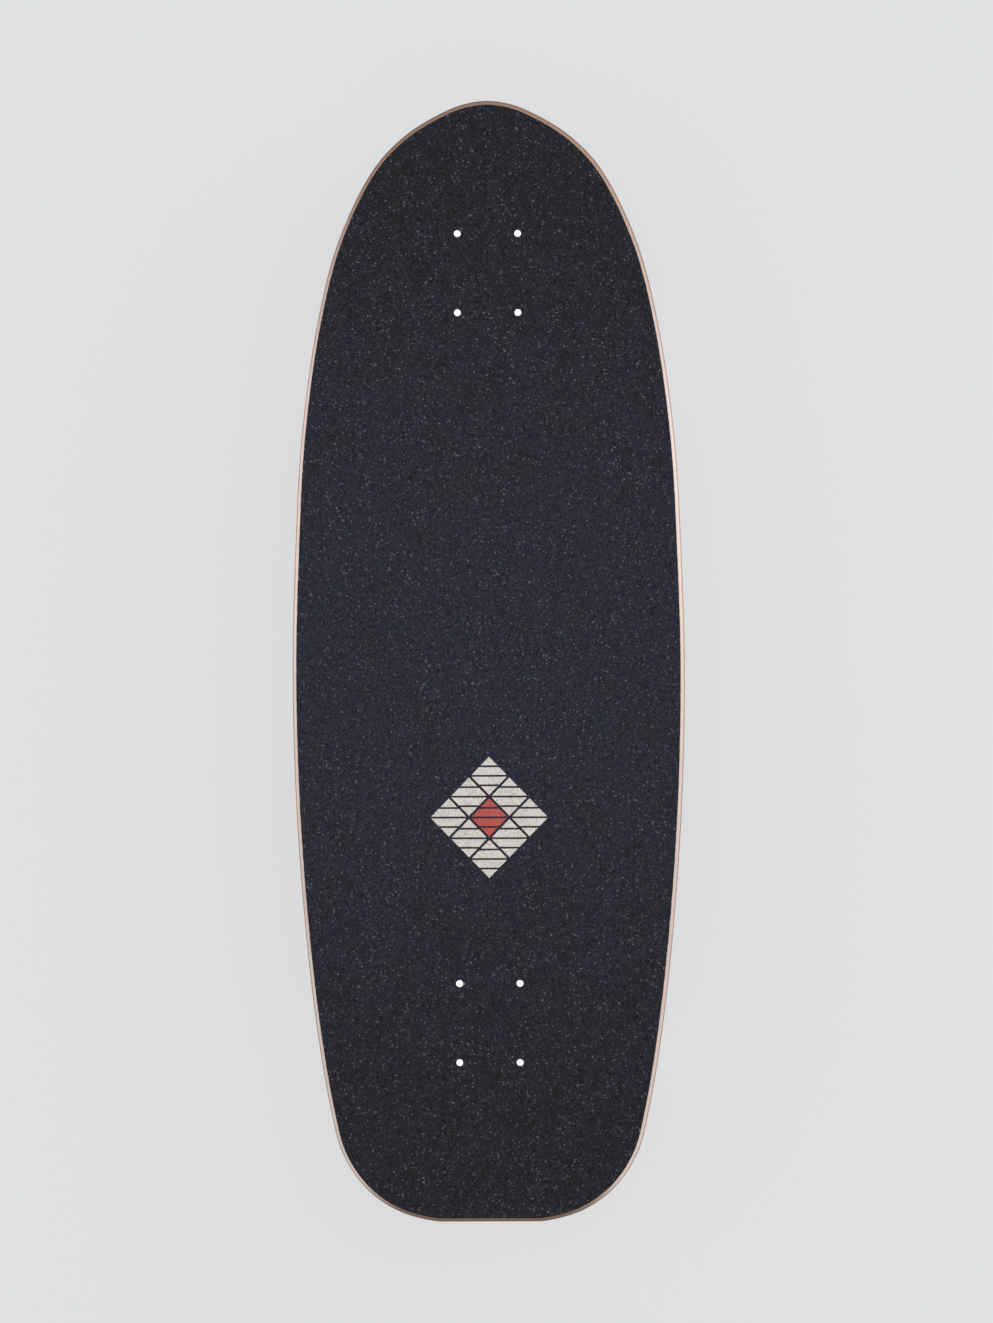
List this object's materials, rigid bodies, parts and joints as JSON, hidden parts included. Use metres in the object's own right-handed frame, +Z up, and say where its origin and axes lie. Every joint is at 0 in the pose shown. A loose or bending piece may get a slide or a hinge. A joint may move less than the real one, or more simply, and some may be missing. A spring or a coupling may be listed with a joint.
{
  "type": "surf skateboard",
  "caption": "Bent maple surf skateboard deck with grip tape, a spring-centred swivelling front truck, a rear truck on a riser and soft wheels.",
  "frame": {"origin": "on the ground, under the middle of the deck's length and width", "axes": "+Z up, +Y towards the nose, +X to the rider's right when facing the nose"},
  "size_m": [0.2676, 0.764, 0.1342],
  "materials": {
    "grip": "fine black abrasive grip tape, matte, with small mineral sparkles",
    "maple": "clear-lacquered maple veneer, the cut edges darker than the faces",
    "zinc": "bright zinc plating",
    "cast_alloy": "tumbled cast aluminium, satin",
    "black_alloy": "black powder-coated aluminium, satin",
    "steel": "ground steel",
    "bronze": "sintered bronze, satin",
    "spring_steel": "powder-coated spring steel",
    "wheel": "poured urethane, off-white, satin",
    "bushing": "poured urethane, muted red",
    "black_rubber": "moulded black rubber, matte"
  },
  "bodies": {
    "deck": {"grip_tape": "grip", "maple_ply_1": "maple", "maple_ply_2": "maple", "maple_ply_3": "maple", "maple_ply_4": "maple", "maple_ply_5": "maple", "maple_ply_6": "maple", "maple_ply_7": "maple", "front_bolt_1": "zinc", "front_bolt_2": "zinc", "front_bolt_3": "zinc", "front_bolt_4": "zinc", "rear_bolt_1": "zinc", "rear_bolt_2": "zinc", "rear_bolt_3": "zinc", "rear_bolt_4": "zinc", "swivel_base": "black_alloy", "swivel_bolt": "zinc", "swivel_nut": "zinc", "centering_spring": "spring_steel", "rear_riser": "black_rubber", "rear_baseplate": "cast_alloy", "rear_kingpin": "steel", "rear_kingpin_nut": "zinc", "rear_cup_washer": "zinc", "rear_board_bushing": "bushing", "rear_road_bushing": "bushing", "rear_pivot_cup": "black_rubber"},
    "front_arm": {"swivel_arm": "cast_alloy", "swivel_bush": "bronze", "front_kingpin": "steel", "front_kingpin_nut": "zinc", "front_cup_washer": "zinc", "front_board_bushing": "bushing", "front_road_bushing": "bushing", "front_pivot_cup": "black_rubber"},
    "front_axle_unit": {"front_hanger": "cast_alloy", "front_axle": "steel", "bearing_sleeve_front_left": "steel", "bearing_sleeve_front_right": "steel", "axle_nut_front_left": "zinc", "axle_nut_front_right": "zinc"},
    "rear_axle_unit": {"rear_hanger": "cast_alloy", "rear_axle": "steel", "bearing_sleeve_rear_left": "steel", "bearing_sleeve_rear_right": "steel", "axle_nut_rear_left": "zinc", "axle_nut_rear_right": "zinc"},
    "front_left_wheel": {"wheel_front_left": "wheel", "bearing_front_left_outer": "steel", "bearing_front_left_inner": "steel"},
    "front_right_wheel": {"wheel_front_right": "wheel", "bearing_front_right_outer": "steel", "bearing_front_right_inner": "steel"},
    "rear_left_wheel": {"wheel_rear_left": "wheel", "bearing_rear_left_outer": "steel", "bearing_rear_left_inner": "steel"},
    "rear_right_wheel": {"wheel_rear_right": "wheel", "bearing_rear_right_outer": "steel", "bearing_rear_right_inner": "steel"}
  },
  "joints": [
    {"name": "front_swivel", "type": "hinge", "parent": "deck", "child": "front_arm", "pos_m": [0, 0.283, 0.1072], "axis": [0, 0.342, 0.9397], "range_deg": [-30, 30], "stiffness_Nm_per_rad": 12, "deforming": ["centering_spring"]},
    {"name": "front_tilt", "type": "hinge", "parent": "front_arm", "child": "front_axle_unit", "pos_m": [0, 0.18546, 0.05851], "axis": [0, 0.989, 0.1482], "range_deg": [-14, 14], "stiffness_Nm_per_rad": 60, "deforming": ["front_board_bushing", "front_road_bushing"]},
    {"name": "rear_tilt", "type": "hinge", "parent": "deck", "child": "rear_axle_unit", "pos_m": [0, -0.2344, 0.0525], "axis": [0, -0.8786, 0.4775], "range_deg": [-14, 14], "stiffness_Nm_per_rad": 60, "deforming": ["rear_board_bushing", "rear_road_bushing"]},
    {"name": "front_left_spin", "type": "hinge", "parent": "front_axle_unit", "child": "front_left_wheel", "pos_m": [-0.0878, 0.19853, 0.033], "axis": [1, 0, 0], "continuous": true},
    {"name": "front_right_spin", "type": "hinge", "parent": "front_axle_unit", "child": "front_right_wheel", "pos_m": [0.0878, 0.19853, 0.033], "axis": [1, 0, 0], "continuous": true},
    {"name": "rear_left_spin", "type": "hinge", "parent": "rear_axle_unit", "child": "rear_left_wheel", "pos_m": [-0.0878, -0.2554, 0.033], "axis": [1, 0, 0], "continuous": true},
    {"name": "rear_right_spin", "type": "hinge", "parent": "rear_axle_unit", "child": "rear_right_wheel", "pos_m": [0.0878, -0.2554, 0.033], "axis": [1, 0, 0], "continuous": true}
  ]
}
